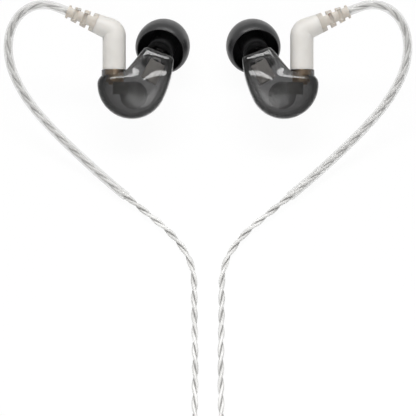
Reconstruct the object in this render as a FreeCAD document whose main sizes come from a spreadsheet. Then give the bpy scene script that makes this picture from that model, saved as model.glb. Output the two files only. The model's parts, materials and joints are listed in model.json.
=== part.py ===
import FreeCAD, Part
import math
import os
import Sketcher

# A pair of in-ear monitors lying face up, with their cable. Millimetres, +X to the right, +Z up.
# The origin is on the surface, below the middle of the box round the two earpieces with their elbows.
# The left earpiece is at -X. The right one is its mirror image across the plane X = 0.
#
# Frames used for the left side:
#   earpiece: origin on the neck's axis where elbow and shell meet, Y up along the neck, Z out of the front
#   neck:     the same origin, with Z along the neck, for turned pieces
#   nozzle:   origin at the middle of the eartip's rim, Z along the nozzle towards the ear canal
#   relief:   origin where the strain relief leaves the elbow, Z along the cable
#   plug:     origin where the plug's boot starts, Z towards the plug's tip

Vector = FreeCAD.Vector
document = FreeCAD.newDocument("InEarMonitors")

sizeTable = [
    # where the neck is, and how far the earpiece leans back
    ("neck_side", 21.77), ("neck_back", -3.67), ("neck_height", 12.5), ("lean", 30),
    # shell outline, seen from the front
    ("bowl_x", 4.15), ("bowl_y", -3.4), ("bowl_radius", 8.0), ("flank_radius", 25.7),
    ("brow_x", 13.9), ("brow_y", 2.85), ("peak_x", 7.4), ("peak_y", 5.4),
    ("waist_x", 2.75), ("waist_y", -0.2), ("shoulder_y", -1.3), ("corner_round", 0.8),
    # shell body
    ("heart_x", 6.0), ("heart_y", -3.0), ("heart_reach", 7.0), ("front_depth", 4.3),
    ("back_depth", 4.0), ("shell_wall", 0.9), ("fullness", 0.8),
    ("collar_wall", 0.7), ("collar_depth", 2.6),
    # nozzle, its boss on the shell, and what is in it
    ("rim_x", 10.6), ("rim_y", 4.85), ("rim_back", 7.5), ("nozzle_pitch", 28), ("nozzle_yaw", 20),
    ("boss_start", -6.0), ("boss_end", -1.6), ("boss_wall", 0.87), ("boss_flare", 0.5),
    ("nozzle_bore", 1.3), ("nozzle_wall", 0.7), ("nozzle_start", -5.0), ("nozzle_end", 5.2),
    ("lip_height", 0.32), ("lip_place", 3.6), ("lip_width", 0.5), ("lip_slope", 0.3),
    ("mesh_ledge", 0.3), ("mesh_thickness", 0.25), ("mesh_seat", 0.3),
    ("tube_wall", 0.35), ("tube_start", -5.9), ("tube_end", -4.0),
    # eartip
    ("tip_radius", 6.4), ("tip_rim_radius", 5.65), ("tip_rim_wall", 0.3), ("tip_widest", 2.2),
    ("tip_length", 10.0), ("tip_nose_wall", 0.68), ("tip_core_wall", 0.68), ("tip_core_start", -1.0),
    ("tip_wall", 0.55), ("tip_lip_gap", 0.1), ("dome_bend", 1.22), ("skirt_bend", 0.39),
    ("inside_bend", 0.62), ("nose_walls", 3),
    # dynamic driver
    ("driver_x", 4.6), ("driver_seat", 0.3), ("driver_radius", 3.2), ("driver_wall", 0.3),
    ("driver_front", -1.8), ("driver_back", 1.2), ("shelf_thickness", 0.5),
    ("yoke_wall", 0.38), ("yoke_back", 1.6), ("yoke_floor", 0.4),
    ("yoke_front", -0.6), ("magnet_radius", 1.5), ("magnet_front", -0.5), ("magnet_gap", 0.2),
    ("coil_wall", 0.2), ("coil_front", -1.2), ("coil_back", 0.6),
    ("diaphragm_gap", 0.1), ("diaphragm_thickness", 0.08), ("diaphragm_dome", 4.0),
    ("dome_rise", 3), ("surround_roll", 0.6), ("surround_ledge", 0.1),
    # balanced armature driver and crossover board
    ("armature_x", 9.1), ("armature_y", -0.5), ("armature_z", -0.2), ("armature_turn", 28),
    ("armature_width", 4.0), ("armature_length", 5.0), ("armature_thickness", 2.8),
    ("armature_round", 0.35), ("board_x", 1.6), ("board_gap", 0.2), ("board_z", 1.75),
    ("board_width", 3.6), ("board_length", 2.8), ("board_thickness", 0.4),
    # neck connector: jack in the shell, plug in the elbow
    ("jack_wall", 0.45), ("socket_gap", 0.07), ("jack_length", 2.8), ("jack_floor", 0.4),
    ("bead_radius", 1.45), ("bead_length", 0.6), ("bead_wall", 0.36), ("contact_radius", 0.42),
    ("contact_length", 4.2), ("contact_top", 0.9), ("contact_depth", 2.4),
    ("barrel_radius", 1.68), ("barrel_wall", 0.34), ("barrel_length", 2.1), ("barrel_seat", 1.6),
    ("groove_place", 1.4), ("groove_width", 0.4), ("groove_depth", 0.16), ("pin_radius", 0.2),
    ("pin_length", 1.8), ("insulator_end", 0.5),
    # elbow
    ("elbow_radius", 2.7), ("elbow_leg", 7.08), ("elbow_bend", 2.95), ("elbow_turn", 67.4),
    ("elbow_arm", 2.5), ("elbow_end_radius", 2.3),
    # strain relief
    ("relief_length", 7.25), ("relief_end_radius", 1.6), ("relief_core", 1.1),
    ("slot_count", 3), ("slot_start", 1.2), ("slot_width", 1.0), ("slot_pitch", 2.3),
    ("window_count", 2), ("window_start", 2.4), ("window_width", 2.5), ("window_length", 0.9),
    # ear hook sleeve and cords
    ("sleeve_wall", 0.31), ("cord_radius", 0.725), ("main_radius", 1.1), ("first_run", 2.5),
    ("cord_side", 3.0), ("cord_coil_radius", 9.4), ("cord_coil_y", -101.0),
    ("cord_coil_columns", 2), ("main_coil_radius", 16.6), ("main_coil_y", -141.0),
    ("main_coil_columns", 5), ("coil_layers", 2), ("turn_gap", 0.05), ("coil_round", 0.6),
    ("level_share", 0.25),
    # slider and splitter
    ("slider_y", -110.0), ("slider_length", 5.0), ("slider_wall", 1.6), ("slider_thickness", 4.2),
    ("slider_round", 0.9), ("splitter_y", -119.5), ("splitter_straight", 3.5),
    ("splitter_length", 11.0), ("splitter_wall", 0.8),
    # stereo plug
    ("plug_y", -151.5), ("plug_rest", 0.1), ("boot_length", 9.0), ("boot_end_radius", 2.7),
    ("boot_wall", 0.5), ("housing_length", 13.0), ("housing_radius", 3.9),
    ("housing_chamfer", 0.6), ("plug_depth", 3.0), ("plug_radius", 1.75), ("plug_shoulder", 0.25),
    ("plug_ground", 6.0), ("plug_ring", 2.2), ("plug_band", 0.8), ("plug_core", 1.0),
    ("plug_stem", 0.6), ("tip_neck_radius", 1.15), ("tip_bulb_radius", 1.6),
    ("tip_point_radius", 0.5), ("plug_reach", 14.0), ("tip_barrel_share", 0.2),
    ("tip_neck_share", 0.4), ("tip_bulb_share", 0.62),
    # clearances
    ("bond_gap", 0.03), ("running_gap", 0.075), ("pin_gap", 0.02),
]

sheet = document.addObject("Spreadsheet::Sheet", "Sizes")
for row, (sizeName, number) in enumerate(sizeTable, start=1):
    sheet.set("A%d" % row, sizeName)
    sheet.set("B%d" % row, str(number))
    sheet.setAlias("B%d" % row, sizeName)
document.recompute()


class Size:
    """A number from the sheet, or worked out from such numbers, with the formula that gives it."""

    def __init__(self, number, formula):
        self.number = float(number)
        self.formula = formula

    def __float__(self):
        return self.number

    def __add__(self, other):
        return Size(self.number + float(other), "(%s + %s)" % (self.formula, formulaOf(other)))

    def __sub__(self, other):
        return Size(self.number - float(other), "(%s - %s)" % (self.formula, formulaOf(other)))

    def __mul__(self, other):
        return Size(self.number * float(other), "(%s * %s)" % (self.formula, formulaOf(other)))

    def __truediv__(self, other):
        return Size(self.number / float(other), "(%s / %s)" % (self.formula, formulaOf(other)))

    def __neg__(self):
        return Size(-self.number, "(0 - %s)" % self.formula)


def formulaOf(size):
    return size.formula if isinstance(size, Size) else str(size)


class SheetSizes:
    """Reads a named size from the sheet."""

    def __getattr__(self, name):
        return Size(sheet.get(name), "Sizes." + name)


s = SheetSizes()

# Sizes that follow from a neighbour's size, a wall and a clearance
jackBore = s.barrel_radius + s.socket_gap
jackRadius = jackBore + s.jack_wall
collarRadius = jackRadius + s.bond_gap + s.collar_wall
beadStem = s.contact_radius + s.pin_gap + s.bead_wall
nozzleRadius = s.nozzle_bore + s.nozzle_wall
lipRadius = nozzleRadius + s.lip_height
meshRadius = s.nozzle_bore + s.mesh_ledge
bossTip = nozzleRadius + s.bond_gap + s.boss_wall
bossRoot = bossTip + s.boss_flare
tipBore = lipRadius + s.tip_lip_gap
coilBore = s.magnet_radius + s.magnet_gap
coilOutside = coilBore + s.coil_wall
yokeBore = coilOutside + s.magnet_gap
yokeRadius = yokeBore + s.yoke_wall
sleeveRadius = s.cord_radius + s.bond_gap + s.sleeve_wall
cavityShare = (s.heart_reach - s.shell_wall) / s.heart_reach
boardY = -s.jack_length - s.board_gap - s.board_length / 2
sliderWidth = s.cord_side * 2 + s.slider_wall * 2
plugHeight = s.housing_radius + s.plug_rest


def value(size):
    return float(size)


def sectionShare(height, depth):
    """How much of the outline a shell section keeps at a height: cos(turn)^fullness there."""
    fullness = value(s.fullness)
    return math.cos(math.asin((height / depth) ** (1 / fullness))) ** fullness


# The driver's front rim seats on the end of the cavity at its own height
rimShare = value(cavityShare) * sectionShare(-value(s.driver_front), value(s.back_depth - s.shell_wall))
driverY = value(s.heart_y) + value(s.bowl_y - s.bowl_radius - s.heart_y) * rimShare \
    + value(s.driver_seat + s.driver_radius)


# ---- frames ----

def turnTo(direction):
    return FreeCAD.Rotation(Vector(0, 0, 1), direction)


earpiece = FreeCAD.Placement(
    Vector(-value(s.neck_side), value(s.neck_back), value(s.neck_height)),
    FreeCAD.Rotation(Vector(1, 0, 0), value(s.lean)))
neck = earpiece * FreeCAD.Placement(Vector(0, 0, 0), turnTo(Vector(0, 1, 0)))

pitch = math.radians(value(s.nozzle_pitch))
yaw = math.radians(value(s.nozzle_yaw))
nozzleAxis = Vector(math.sin(pitch) * math.sin(yaw), math.sin(pitch) * math.cos(yaw), -math.cos(pitch))
rimCentre = Vector(value(s.rim_x), value(s.rim_y), -value(s.rim_back))
nozzleFrame = earpiece * FreeCAD.Placement(rimCentre, turnTo(nozzleAxis))

turn = math.radians(value(s.elbow_turn))
reliefAxis = Vector(-math.sin(turn), math.cos(turn), 0)
bendCentre = Vector(-value(s.elbow_bend), value(s.elbow_leg), 0)
bendEnd = bendCentre + Vector(math.cos(turn), math.sin(turn), 0) * value(s.elbow_bend)
elbowEnd = bendEnd + reliefAxis * value(s.elbow_arm)
reliefFrame = earpiece * FreeCAD.Placement(
    elbowEnd, FreeCAD.Rotation(Vector(-math.cos(turn), -math.sin(turn), 0), Vector(0, 0, 1), reliefAxis, "ZXY"))

driverFrame = earpiece * FreeCAD.Placement(Vector(value(s.driver_x), driverY, 0), FreeCAD.Rotation())
armatureFrame = earpiece * FreeCAD.Placement(
    Vector(value(s.armature_x), value(s.armature_y), value(s.armature_z)),
    FreeCAD.Rotation(Vector(0, 0, 1), -value(s.armature_turn)))
boardFrame = earpiece * FreeCAD.Placement(
    Vector(value(s.board_x), value(boardY), value(s.board_z)), FreeCAD.Rotation())
plugFrame = FreeCAD.Placement(
    Vector(0, value(s.plug_y), value(plugHeight)), turnTo(Vector(0, -1, 0)))

nodes = {}


def keep(label, piece):
    """Gives a finished sub-part its label and lists it for export."""
    piece.Label = label
    nodes[label] = piece
    return piece


# ---- sketches and bodies ----

def arcCentre(start, end, bend):
    """Centre of the arc from start to end. A positive bend turns left, a negative one right."""
    middle = (start + end) * 0.5
    chord = end - start
    rise = math.sqrt(max(bend * bend - chord.Length ** 2 / 4, 0.0))
    left = Vector(-chord.y, chord.x, 0).normalize()
    return middle + left * (rise if bend > 0 else -rise)


def drawProfile(body, role, corners):
    """Closed profile through corners (across, up) or (across, up, bend) of the arc that leaves there."""
    sketch = body.newObject("Sketcher::SketchObject", "profile")
    plane = [feature for feature in body.Origin.OriginFeatures if feature.Role == role][0]
    sketch.AttachmentSupport = [(plane, "")]
    sketch.MapMode = "FlatFace"
    places = [Vector(float(corner[0]), float(corner[1]), 0) for corner in corners]
    count = len(corners)
    leaving = []
    arriving = []
    for index, corner in enumerate(corners):
        start = places[index]
        end = places[(index + 1) % count]
        if len(corner) == 2:
            sketch.addGeometry(Part.LineSegment(start, end), False)
            leaving.append(1)
            arriving.append(2)
            continue
        bend = float(corner[2])
        centre = arcCentre(start, end, bend)
        first, last = (start, end) if bend > 0 else (end, start)
        firstAngle = math.atan2(first.y - centre.y, first.x - centre.x)
        lastAngle = math.atan2(last.y - centre.y, last.x - centre.x)
        circle = Part.Circle(centre, Vector(0, 0, 1), abs(bend))
        sketch.addGeometry(Part.ArcOfCircle(circle, firstAngle, lastAngle), False)
        leaving.append(1 if bend > 0 else 2)
        arriving.append(2 if bend > 0 else 1)
    for index in range(count):
        following = (index + 1) % count
        sketch.addConstraint(Sketcher.Constraint(
            "Coincident", index, arriving[index], following, leaving[following]))
    for index, corner in enumerate(corners):
        for kind, axis, size in (("DistanceX", -2, corner[0]), ("DistanceY", -1, corner[1])):
            if not isinstance(size, Size) and size == 0:
                sketch.addConstraint(Sketcher.Constraint("PointOnObject", index, leaving[index], axis))
                continue
            number = sketch.addConstraint(Sketcher.Constraint(
                kind, -1, 1, index, leaving[index], float(size)))
            if isinstance(size, Size):
                sketch.setExpression("Constraints[%d]" % number, size.formula)
        if len(corner) == 3:
            bend = corner[2]
            radius = bend if float(bend) > 0 else -bend
            number = sketch.addConstraint(Sketcher.Constraint("Radius", index, float(radius)))
            if isinstance(radius, Size):
                sketch.setExpression("Constraints[%d]" % number, radius.formula)
    return sketch


def newBody(name, placement):
    body = document.addObject("PartDesign::Body", name)
    body.Placement = placement
    return body


def turned(name, placement, corners):
    """Body turned about its own Z axis from corners (radius, height)."""
    body = newBody(name, placement)
    sketch = drawProfile(body, "XZ_Plane", corners)
    feature = body.newObject("PartDesign::Revolution", "revolution")
    feature.Profile = sketch
    feature.ReferenceAxis = (sketch, ["V_Axis"])
    feature.Angle = 360
    return body


def plate(name, placement, corners, thickness):
    """Body padded to both sides of its own XY plane."""
    body = newBody(name, placement)
    feature = body.newObject("PartDesign::Pad", "pad")
    feature.Profile = drawProfile(body, "XY_Plane", corners)
    feature.SideType = "Symmetric"
    feature.setExpression("Length", thickness.formula)
    document.recompute()
    return body


def drawCircle(body, role, across, radius):
    """Circle on one of the body's planes, centred on the plane's first axis."""
    sketch = body.newObject("Sketcher::SketchObject", "circle")
    plane = [feature for feature in body.Origin.OriginFeatures if feature.Role == role][0]
    sketch.AttachmentSupport = [(plane, "")]
    sketch.MapMode = "FlatFace"
    sketch.addGeometry(Part.Circle(Vector(float(across), 0, 0), Vector(0, 0, 1), float(radius)), False)
    sketch.addConstraint(Sketcher.Constraint("PointOnObject", 0, 3, -1))
    number = sketch.addConstraint(Sketcher.Constraint("DistanceX", -1, 1, 0, 3, float(across)))
    sketch.setExpression("Constraints[%d]" % number, across.formula)
    number = sketch.addConstraint(Sketcher.Constraint("Radius", 0, float(radius)))
    sketch.setExpression("Constraints[%d]" % number, radius.formula)
    return sketch


def cutThrough(body, sketch, depth):
    """Pocket to both sides of the sketch, depth long in all. It must take material away."""
    before = body.Shape.Volume
    feature = body.newObject("PartDesign::Pocket", "pocket")
    feature.Profile = sketch
    feature.SideType = "Symmetric"
    feature.setExpression("Length", depth.formula)
    document.recompute()
    if not body.Shape.Volume < before:
        raise RuntimeError("the pocket in %s cut nothing" % body.Label)


def edgesAlong(body, axis):
    """Names of the straight edges of a body that run along an axis of the model."""
    return ["Edge%d" % number for number, edge in enumerate(body.Shape.Edges, start=1)
            if abs(edge.tangentAt(edge.FirstParameter).dot(axis)) > 0.999]


def roundEdges(body, edges, radius):
    before = body.Tip
    feature = body.newObject("PartDesign::Fillet", "fillet")
    feature.Base = (before, edges)
    feature.setExpression("Radius", radius.formula)
    body.Tip = feature
    document.recompute()


def rectangle(width, height):
    """Corners of a rectangle about the origin."""
    return [(-width / 2, -height / 2), (width / 2, -height / 2), (width / 2, height / 2), (-width / 2, height / 2)]


def bore(startRadius, endRadius, start, end):
    """Ring profile between two radii from start to end."""
    return [(startRadius, start), (endRadius, start), (endRadius, end), (startRadius, end)]


def shaped(name, shape, placement=FreeCAD.Placement()):
    """Piece whose shape Part's own functions make."""
    piece = document.addObject("Part::Feature", name)
    piece.Shape = shape
    piece.Placement = placement
    return piece


# ---- shell ----

def flankCentre():
    """Centre of the flank's arc: it passes the brow's corner and meets the bowl's circle from outside."""
    bowl = Vector(value(s.bowl_x), value(s.bowl_y), 0)
    brow = Vector(value(s.brow_x), value(s.brow_y), 0)
    near = value(s.flank_radius) - value(s.bowl_radius)
    far = value(s.flank_radius)
    span = brow - bowl
    along = (near * near - far * far + span.Length ** 2) / (2 * span.Length)
    aside = math.sqrt(near * near - along * along)
    direction = Vector(span).normalize()
    return bowl + direction * along + Vector(-direction.y, direction.x, 0) * aside


def shellSection(share, height):
    """Outline of the shell, drawn towards its heart by share, at the given height."""
    heart = Vector(value(s.heart_x), value(s.heart_y), 0)
    bowl = Vector(value(s.bowl_x), value(s.bowl_y), 0)
    flank = flankCentre()
    brow = Vector(value(s.brow_x), value(s.brow_y), 0)
    peak = Vector(value(s.peak_x), value(s.peak_y), 0)
    waist = Vector(value(s.waist_x), value(s.waist_y), 0)
    bowlRadius = value(s.bowl_radius)
    flankRadius = value(s.flank_radius)
    rise = value(s.shoulder_y) - bowl.y
    shoulder = Vector(bowl.x - math.sqrt(bowlRadius ** 2 - rise ** 2), value(s.shoulder_y), 0)
    cut = value(s.corner_round)

    def place(point):
        moved = heart + (point - heart) * share
        return Vector(moved.x, moved.y, height)

    def toward(start, end):
        return start + Vector(end - start).normalize() * cut

    def onCircle(centre, radius, angle):
        return centre + Vector(math.cos(angle), math.sin(angle), 0) * radius

    def angleOf(centre, point):
        return math.atan2(point.y - centre.y, point.x - centre.x)

    joinAngle = angleOf(flank, bowl)
    browAngle = angleOf(flank, brow) - cut / flankRadius
    shoulderAngle = angleOf(bowl, shoulder) - 2 * math.pi
    shoulderAngle = shoulderAngle if shoulderAngle > -2 * math.pi else shoulderAngle + 2 * math.pi
    join = onCircle(bowl, bowlRadius, joinAngle)
    belowBrow = onCircle(flank, flankRadius, browAngle)

    def arc(start, centre, radius, angle, end):
        return Part.Arc(place(start), place(onCircle(centre, radius, angle)), place(end)).toShape()

    def rounded(start, corner, end):
        curve = Part.BezierCurve()
        curve.setPoles([place(start), place(corner), place(end)])
        return curve.toShape()

    def straight(start, end):
        return Part.LineSegment(place(start), place(end)).toShape()

    edges = [
        arc(shoulder, bowl, bowlRadius, (shoulderAngle + joinAngle) / 2, join),
        arc(join, flank, flankRadius, (joinAngle + browAngle) / 2, belowBrow),
        rounded(belowBrow, brow, toward(brow, peak)),
        straight(toward(brow, peak), toward(peak, brow)),
        rounded(toward(peak, brow), peak, toward(peak, waist)),
        straight(toward(peak, waist), toward(waist, peak)),
        rounded(toward(waist, peak), waist, toward(waist, shoulder)),
        straight(toward(waist, shoulder), shoulder),
    ]
    return Part.Wire(edges)


sectionTurns = (-76, -62, -46, -25, 0, 25, 46, 62, 76)


def shellSolid(share, inset):
    """Closed body of the shell: sections follow cos(turn)^fullness across and sin(turn)^fullness in depth."""
    fullness = value(s.fullness)
    sections = []
    for degrees in sectionTurns:
        depth = value(s.front_depth if degrees > 0 else s.back_depth) - inset
        angle = math.radians(abs(degrees))
        height = math.copysign(depth * math.sin(angle) ** fullness, degrees) if degrees else 0.0
        sections.append(shellSection(share * math.cos(angle) ** fullness, height))
    return Part.makeLoft(sections, True, False)


def makeShells():
    wall = value(s.shell_wall)
    outer = shellSolid(1.0, 0.0)
    collar = Part.makeCylinder(
        value(collarRadius), value(s.collar_depth), Vector(0, 0, 0), Vector(0, -1, 0))
    bossStart = rimCentre + nozzleAxis * value(s.boss_start)
    boss = Part.makeCone(
        value(bossRoot), value(bossTip), value(s.boss_end) - value(s.boss_start), bossStart, nozzleAxis)
    cavity = shellSolid(value(cavityShare), wall)
    jackHole = Part.makeCylinder(
        value(jackRadius + s.bond_gap), value(s.jack_length) + wall, Vector(0, 0, 0), Vector(0, -1, 0))
    holeLength = 3 * value(bossRoot)
    holeStart = value(s.boss_end) + wall - holeLength
    nozzleHole = Part.makeCylinder(
        value(nozzleRadius + s.bond_gap), holeLength, rimCentre + nozzleAxis * holeStart, nozzleAxis)
    whole = outer.fuse([collar, boss]).cut([cavity, jackHole, nozzleHole])
    room = 4 * value(s.bowl_radius)
    frontHalf = Part.makeBox(2 * room, 2 * room, room, Vector(-room, -room, 0))
    keep("left_outer_shell", shaped("outer_shell", whole.common(frontHalf), earpiece))
    keep("left_inner_shell", shaped("inner_shell", whole.cut(frontHalf), earpiece))


# ---- nozzle and eartip ----

def makeNozzle():
    lipStart = s.lip_place + s.lip_slope
    lipEnd = lipStart + s.lip_width
    seat = meshRadius + s.pin_gap
    meshStart = s.nozzle_end - s.mesh_seat
    keep("left_nozzle", turned("nozzle", nozzleFrame, [
        (s.nozzle_bore, s.nozzle_start), (nozzleRadius, s.nozzle_start),
        (nozzleRadius, s.lip_place), (lipRadius, lipStart), (lipRadius, lipEnd),
        (nozzleRadius, lipEnd + s.lip_slope), (nozzleRadius, s.nozzle_end),
        (seat, s.nozzle_end), (seat, meshStart), (s.nozzle_bore, meshStart)]))
    keep("left_nozzle_mesh", turned("nozzle_mesh", nozzleFrame, [
        (0, meshStart), (meshRadius, meshStart), (meshRadius, meshStart + s.mesh_thickness),
        (0, meshStart + s.mesh_thickness)]))
    tubeRadius = s.nozzle_bore - s.running_gap
    keep("left_sound_tube", turned("sound_tube", nozzleFrame, bore(
        tubeRadius - s.tube_wall, tubeRadius, s.tube_start, s.tube_end)))


def makeEartip():
    core = tipBore + s.tip_core_wall
    coreTop = s.tip_length - s.tip_wall * s.nose_walls
    dome = s.tip_length - s.tip_widest
    skirt = s.tip_length * s.skirt_bend
    keep("left_eartip", turned("eartip", nozzleFrame, [
        (tipBore, s.tip_core_start), (core, s.tip_core_start),
        (core, coreTop, -(s.tip_length * s.inside_bend)),
        (s.tip_radius - s.tip_wall, s.tip_widest, -skirt),
        (s.tip_rim_radius - s.tip_rim_wall, 0), (s.tip_rim_radius, 0, skirt),
        (s.tip_radius, s.tip_widest, dome * s.dome_bend), (tipBore + s.tip_nose_wall, s.tip_length),
        (tipBore, s.tip_length - s.tip_wall)]))


# ---- drivers and crossover ----

def makeDriver():
    inner = s.driver_radius - s.driver_wall
    shelf = s.driver_back - s.shelf_thickness
    hole = yokeRadius + s.bond_gap
    keep("left_driver_frame", turned("driver_frame", driverFrame, [
        (inner, s.driver_front), (s.driver_radius, s.driver_front), (s.driver_radius, s.driver_back),
        (hole, s.driver_back), (hole, shelf), (inner, shelf)]))
    yokeFloor = s.yoke_back - s.yoke_floor
    keep("left_driver_yoke", turned("driver_yoke", driverFrame, [
        (0, s.yoke_back), (0, yokeFloor), (yokeBore, yokeFloor),
        (yokeBore, s.yoke_front), (yokeRadius, s.yoke_front), (yokeRadius, s.yoke_back)]))
    keep("left_driver_magnet", turned("driver_magnet", driverFrame, [
        (0, s.magnet_front), (s.magnet_radius, s.magnet_front), (s.magnet_radius, yokeFloor), (0, yokeFloor)]))
    keep("left_voice_coil", turned("voice_coil", driverFrame, bore(
        coilBore, coilOutside, s.coil_front, s.coil_back)))
    face = s.coil_front
    back = face - s.diaphragm_thickness
    rise = s.diaphragm_thickness * s.dome_rise
    domeEdge = coilBore - s.coil_wall
    surroundStart = coilOutside + s.surround_ledge
    edge = inner - s.diaphragm_gap
    keep("left_diaphragm", turned("diaphragm", driverFrame, [
        (0, face - rise, s.diaphragm_dome), (domeEdge, face), (surroundStart, face, s.surround_roll),
        (edge, face), (edge, back, -s.surround_roll), (surroundStart, back),
        (domeEdge, back, -s.diaphragm_dome), (0, back - rise)]))


def makeArmature():
    body = plate("balanced_armature", armatureFrame,
                 rectangle(s.armature_width, s.armature_length), s.armature_thickness)
    roundEdges(body, ["Edge%d" % number for number in range(1, 13)], s.armature_round)
    keep("left_balanced_armature", body)
    keep("left_crossover_board", plate(
        "crossover_board", boardFrame * FreeCAD.Placement(
            Vector(0, 0, value(s.board_thickness) / 2), FreeCAD.Rotation()),
        rectangle(s.board_width, s.board_length), s.board_thickness))


# ---- neck connector ----

def makeConnector():
    floorTop = s.jack_floor - s.jack_length
    stemHole = beadStem + s.bond_gap
    keep("left_jack_body", turned("jack_body", neck, [
        (jackBore, 0), (jackRadius, 0), (jackRadius, -s.jack_length),
        (stemHole, -s.jack_length), (stemHole, floorTop), (jackBore, floorTop)]))
    contactBore = s.pin_radius + s.pin_gap
    beadBore = s.contact_radius + s.pin_gap
    socket = turned("jack_socket", neck, [
        (contactBore, -s.contact_top), (s.contact_radius, -s.contact_top),
        (s.contact_radius, -s.contact_length), (0, -s.contact_length), (0, -s.contact_depth),
        (contactBore, -s.contact_depth)])
    bead = turned("jack_bead", neck, [
        (beadBore, floorTop), (beadStem, floorTop), (beadStem, -s.jack_length),
        (s.bead_radius, -s.jack_length), (s.bead_radius, -s.jack_length - s.bead_length),
        (beadBore, -s.jack_length - s.bead_length)])
    keep("left_jack_contact", together("jack_contact", [socket, bead]))
    inner = s.barrel_radius - s.barrel_wall
    groove = s.barrel_radius - s.groove_depth
    keep("left_plug_barrel", turned("plug_barrel", neck, [
        (inner, s.barrel_seat), (inner, -s.barrel_length), (s.barrel_radius, -s.barrel_length),
        (s.barrel_radius, -s.groove_place - s.groove_width), (groove, -s.groove_place - s.groove_width),
        (groove, -s.groove_place), (s.barrel_radius, -s.groove_place), (s.barrel_radius, s.barrel_seat)]))
    pin = turned("plug_contact", neck, [
        (0, s.barrel_seat), (0, -s.pin_length), (s.pin_radius, -s.pin_length), (s.pin_radius, s.barrel_seat)])
    insulator = turned("plug_bead", neck, bore(
        s.pin_radius + s.pin_gap, inner - s.pin_gap, -s.insulator_end, s.barrel_seat))
    keep("left_plug_pin", together("plug_pin", [pin, insulator]))
    keep("left_snap_ring", turned("snap_ring", neck, bore(
        groove + s.pin_gap, jackBore - s.pin_gap,
        -s.groove_place - s.groove_width + s.pin_gap, -s.groove_place - s.pin_gap)))


def together(name, pieces):
    group = document.addObject("Part::Compound", name)
    group.Links = pieces
    return group


# ---- elbow and strain relief ----

def makeElbow():
    """Straight leg, a bend that thins evenly along its length, and a short arm, bored for the plug."""
    leg = value(s.elbow_leg)
    bendLength = value(s.elbow_bend) * turn
    total = bendLength + value(s.elbow_arm)
    thinning = value(s.elbow_radius) - value(s.elbow_end_radius)
    rings = []
    steps = 6
    for step in range(steps + 1):
        angle = turn * step / steps
        centre = bendCentre + Vector(math.cos(angle), math.sin(angle), 0) * value(s.elbow_bend)
        radius = value(s.elbow_radius) - thinning * bendLength * step / steps / total
        rings.append(Part.Wire([Part.Circle(
            centre, Vector(-math.sin(angle), math.cos(angle), 0), radius).toShape()]))
    bend = Part.makeLoft(rings, True, False)
    straight = Part.makeCylinder(value(s.elbow_radius), leg, Vector(0, 0, 0), Vector(0, 1, 0))
    bendRadius = value(s.elbow_radius) - thinning * bendLength / total
    arm = Part.makeCone(bendRadius, value(s.elbow_end_radius), value(s.elbow_arm), bendEnd, reliefAxis)
    seat = Part.makeCylinder(
        value(s.barrel_radius) + value(s.bond_gap), value(s.barrel_seat), Vector(0, 0, 0), Vector(0, 1, 0))
    keep("left_elbow", shaped("elbow", straight.fuse([bend, arm]).cut(seat), earpiece))


def makeRelief():
    body = turned("strain_relief", reliefFrame, [
        (0, 0), (s.elbow_end_radius, 0), (s.relief_end_radius, s.relief_length), (0, s.relief_length)])
    document.recompute()
    wide = s.elbow_end_radius * 2
    for slot in range(int(value(s.slot_count))):
        low = s.slot_start + s.slot_pitch * slot
        high = low + s.slot_width
        for side in (1, -1):
            sketch = drawProfile(body, "XZ_Plane", [
                (s.relief_core * side, low), (wide * side, low), (wide * side, high),
                (s.relief_core * side, high)])
            cutThrough(body, sketch, wide * 2)
    for window in range(int(value(s.window_count))):
        low = s.window_start + s.slot_pitch * window
        high = low + s.window_length
        for side in (1, -1):
            sketch = drawProfile(body, "YZ_Plane", [
                (s.relief_core * side, low), (wide * side, low), (wide * side, high),
                (s.relief_core * side, high)])
            cutThrough(body, sketch, s.window_width)
    keep("left_strain_relief", body)


# ---- cords ----

# Route of the left cord from the strain relief's second point on, over the ear hook and down to its coil.
hookRoute = [
    (-37.9, 10.0, 19.6), (-41.4, 9.5, 19.2), (-44.3, 7.5, 18.1), (-46.1, 4.5, 16.2),
    (-46.6, 0.9, 14.1), (-45.5, -3.9, 11.4), (-41.8, -9.7, 8.1), (-35.9, -15.7, 5.1),
    (-29.3, -21.7, 2.9), (-22.4, -28.0, 1.6), (-15.1, -34.5, 1.2), (-7.6, -41.2, 0.8),
    (-3.1, -49.0, 0.76), (-3.1, -59.8, 0.75), (-2.8, -73.2, 0.76), (-2.9, -87.3, 0.75)]
sleeveRuns = 11     # the sleeve ends halfway along this run of the route
arcShare = 0.45     # how much of the shorter run an arc takes


def routeEdges(points, name):
    """Straight runs joined by tangent arcs: radius = arcShare of the shorter run / tan(half the turn)."""
    edges = []
    start = points[0]
    radii = []
    for before, corner, after in zip(points, points[1:], points[2:]):
        arriving = corner - before
        leaving = after - corner
        half = arriving.getAngle(leaving) / 2
        cut = arcShare * min(arriving.Length, leaving.Length)
        radii.append(cut / math.tan(half))
        arcStart = corner - Vector(arriving).normalize() * cut
        arcEnd = corner + Vector(leaving).normalize() * cut
        centreWay = (Vector(leaving).normalize() - Vector(arriving).normalize()).normalize()
        depth = radii[-1] / math.cos(half) - radii[-1]
        edges.append(Part.LineSegment(start, arcStart).toShape())
        edges.append(Part.Arc(arcStart, corner + centreWay * depth, arcEnd).toShape())
        start = arcEnd
    edges.append(Part.LineSegment(start, points[-1]).toShape())
    print(name, "bend radii", " ".join("%.1f" % radius for radius in radii))
    return edges


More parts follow.
